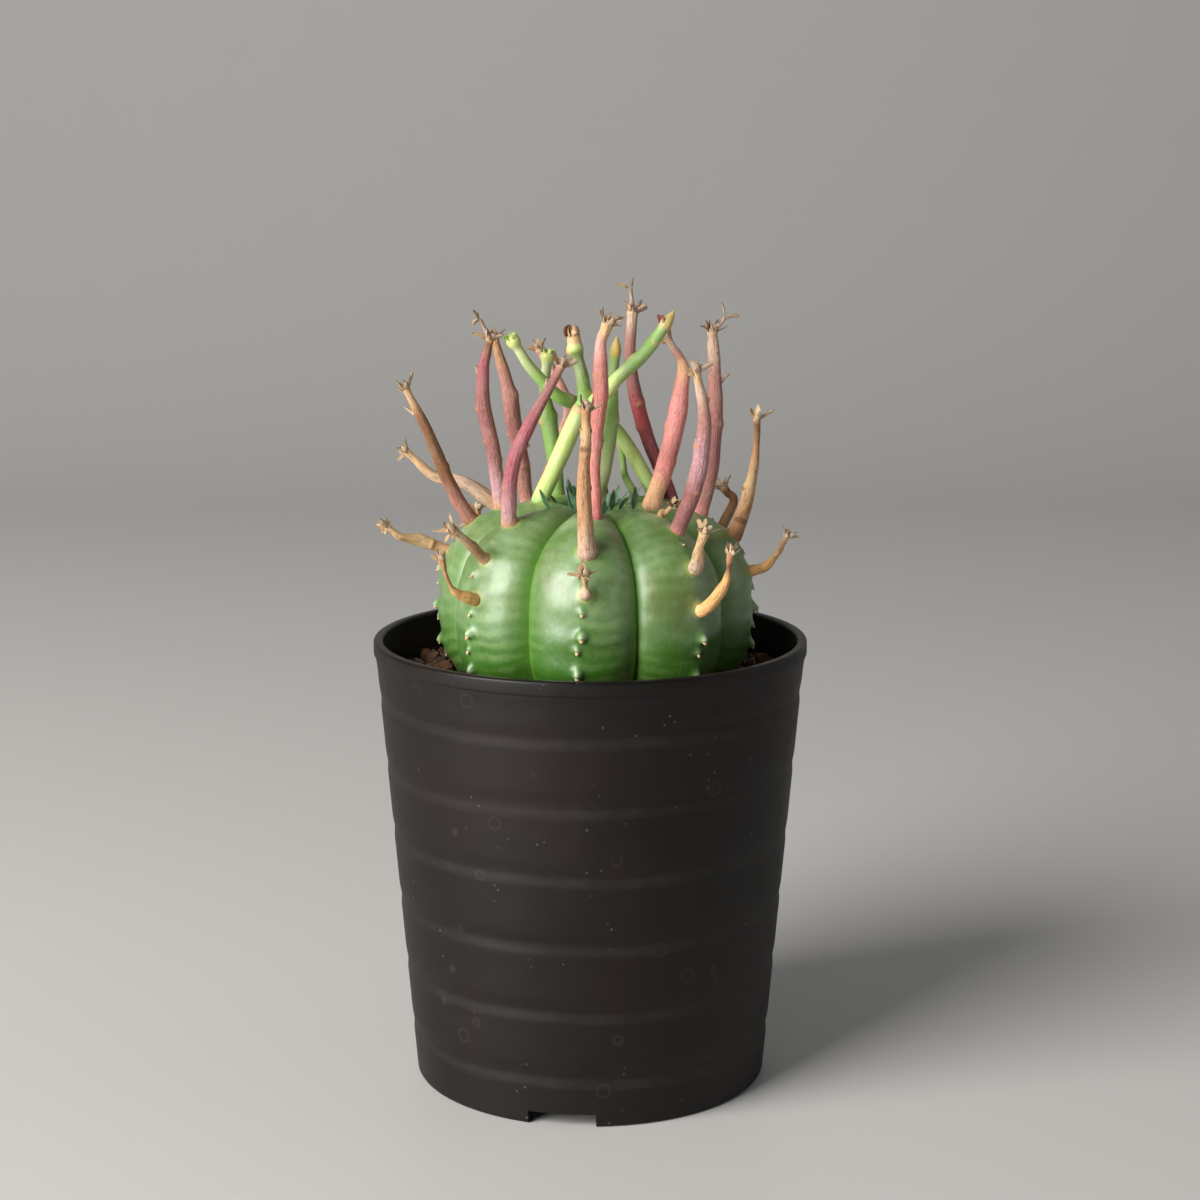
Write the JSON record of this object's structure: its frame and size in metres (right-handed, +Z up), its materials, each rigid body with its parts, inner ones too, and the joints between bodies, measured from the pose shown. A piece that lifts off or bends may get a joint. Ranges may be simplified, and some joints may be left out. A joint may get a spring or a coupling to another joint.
{
  "type": "potted euphorbia",
  "caption": "Ribbed, nearly round succulent with upright coloured and dry flower stalks, in a ring-grooved black nursery pot.",
  "frame": {"origin": "on the pot's axis, at the surface that the pot's foot stands on", "axes": "+Z up along the pot's axis, -Y towards the front, +X to the right seen from the front"},
  "size_m": [0.09, 0.09, 0.1644],
  "materials": {
    "pot": "matt moulded black plastic with a faint satin sheen",
    "soil": "loose mineral potting grit, dry and matt",
    "stem": "living green skin with a thin whitish waxy bloom",
    "leaf": "small living leaves, blue-green and matt",
    "green_stalk": "living green flower stalks, smooth and slightly waxy",
    "mauve_stalk": "drying flower stalks, mauve with pale lengthwise streaks",
    "pink_stalk": "living flower stalks flushed pink and salmon",
    "crimson_stalk": "living flower stalk flushed crimson",
    "golden_stalk": "dry woody stalks, golden brown and curled",
    "dry_stalk": "dry woody stalks, tan and finely fissured"
  },
  "bodies": {
    "root": {"brown_stalk_left": "dry_stalk", "crimson_stalk_rear": "crimson_stalk", "crown_leaf_1": "leaf", "crown_leaf_10": "leaf", "crown_leaf_11": "leaf", "crown_leaf_12": "leaf", "crown_leaf_13": "leaf", "crown_leaf_14": "leaf", "crown_leaf_2": "leaf", "crown_leaf_3": "leaf", "crown_leaf_4": "leaf", "crown_leaf_5": "leaf", "crown_leaf_6": "leaf", "crown_leaf_7": "leaf", "crown_leaf_8": "leaf", "crown_leaf_9": "leaf", "curled_stalk_back_left": "golden_stalk", "curled_stalk_front_left": "golden_stalk", "curled_stalk_right": "golden_stalk", "dry_stalk_back": "dry_stalk", "dry_stalk_front": "dry_stalk", "dry_stalk_left_low": "dry_stalk", "dry_stalk_left_rear": "dry_stalk", "dry_stalk_right": "dry_stalk", "dry_stub_back": "dry_stalk", "dry_stub_crown": "dry_stalk", "dry_stub_front": "dry_stalk", "dry_stub_front_left": "dry_stalk", "dry_stub_front_right": "dry_stalk", "dry_stub_right_rear": "dry_stalk", "golden_stalk_front_right": "golden_stalk", "green_stalk_bud": "green_stalk", "green_stalk_crossing": "green_stalk", "green_stalk_flowering": "green_stalk", "green_stalk_forked": "green_stalk", "green_stalk_thin": "green_stalk", "mauve_stalk_front_right": "mauve_stalk", "mauve_stalk_left": "mauve_stalk", "mauve_stalk_left_rear": "mauve_stalk", "mauve_stalk_right": "mauve_stalk", "pink_stalk_front": "pink_stalk", "pink_stalk_rear": "pink_stalk", "pot": "pot", "purple_stalk_front_left": "mauve_stalk", "salmon_stalk_right": "pink_stalk", "soil": "soil", "stem": "stem"}
  },
  "joints": []
}
